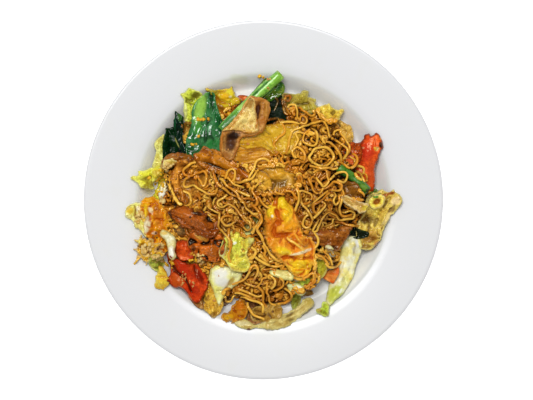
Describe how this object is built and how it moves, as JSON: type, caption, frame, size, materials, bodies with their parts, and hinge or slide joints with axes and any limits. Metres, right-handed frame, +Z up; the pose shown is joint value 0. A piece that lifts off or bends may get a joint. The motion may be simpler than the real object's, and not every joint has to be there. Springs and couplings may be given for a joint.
{
  "type": "plate of stir-fried instant noodles",
  "caption": "Stir-fried wavy noodles heaped on a round white plate with greens, cabbage, red pepper, egg and sliced meat",
  "frame": {"origin": "middle of the plate's foot ring, on the surface that the plate stands on", "axes": "+Z up, +Y towards the far side of the plate (top of the picture), +X to its right side"},
  "size_m": [0.27, 0.27, 0.0477],
  "materials": {
    "porcelain": "white glaze",
    "noodle": "sauced, semi-gloss",
    "leaf": "cooked leaf, oily gloss",
    "dark_leaf": "dark cooked leaf, oily gloss",
    "stem": "cooked stem, gloss",
    "cabbage": "cooked leaf, soft gloss",
    "cabbage_rib": "pale cooked rib, soft gloss",
    "brown_cabbage": "browned leaf, soft gloss",
    "pepper": "glossy skin",
    "egg": "fried yolk, satin",
    "egg_white": "fried white, satin",
    "pale_meat": "seared pale slice, satin",
    "brown_meat": "browned slice, satin"
  },
  "bodies": {
    "root": {"plate": "porcelain", "noodles": "noodle", "cabbage_left_edge": "cabbage", "cabbage_left_tip": "cabbage", "cabbage_top_left": "cabbage", "leaf_dark": "dark_leaf", "leaf_narrow": "leaf", "egg_top": "egg", "leaf_shaded": "dark_leaf", "cabbage_top_right": "cabbage", "cabbage_top_right_small": "cabbage", "cabbage_right_edge": "cabbage", "leaf_under_noodles": "dark_leaf", "leaf_big": "leaf", "leaf_on_stem": "dark_leaf", "stem_long": "stem", "pepper_right": "pepper", "meat_by_pepper": "brown_meat", "stem_short": "stem", "meat_edge": "brown_meat", "cabbage_right": "cabbage", "egg_ring": "egg_white", "egg_strand": "egg_white", "cabbage_rib_long": "cabbage_rib", "cabbage_bit": "cabbage", "pepper_small_right": "pepper", "cabbage_yellow": "cabbage", "cabbage_under_egg": "cabbage", "cabbage_rib_upper": "cabbage_rib", "cabbage_rib_lower": "cabbage_rib", "cabbage_strip_bottom": "cabbage", "cabbage_bottom_leaf": "brown_cabbage", "egg_bottom": "egg", "cabbage_golden": "brown_cabbage", "cabbage_rib_white": "cabbage_rib", "cabbage_centre": "cabbage", "egg_left_white": "egg_white", "egg_left": "egg", "egg_low_left": "egg_white", "egg_blob": "egg", "pepper_small_left": "pepper", "pepper_big": "pepper", "cabbage_white_left": "cabbage_rib", "cabbage_white_low": "cabbage_rib", "meat_arch": "brown_meat", "meat_under_loops": "brown_meat", "meat_lower": "brown_meat", "meat_rust": "brown_meat", "meat_right": "brown_meat", "meat_low": "pale_meat", "meat_mid": "pale_meat", "meat_pale": "pale_meat", "meat_long": "brown_meat", "meat_folded": "pale_meat", "egg_centre": "egg"}
  },
  "joints": []
}
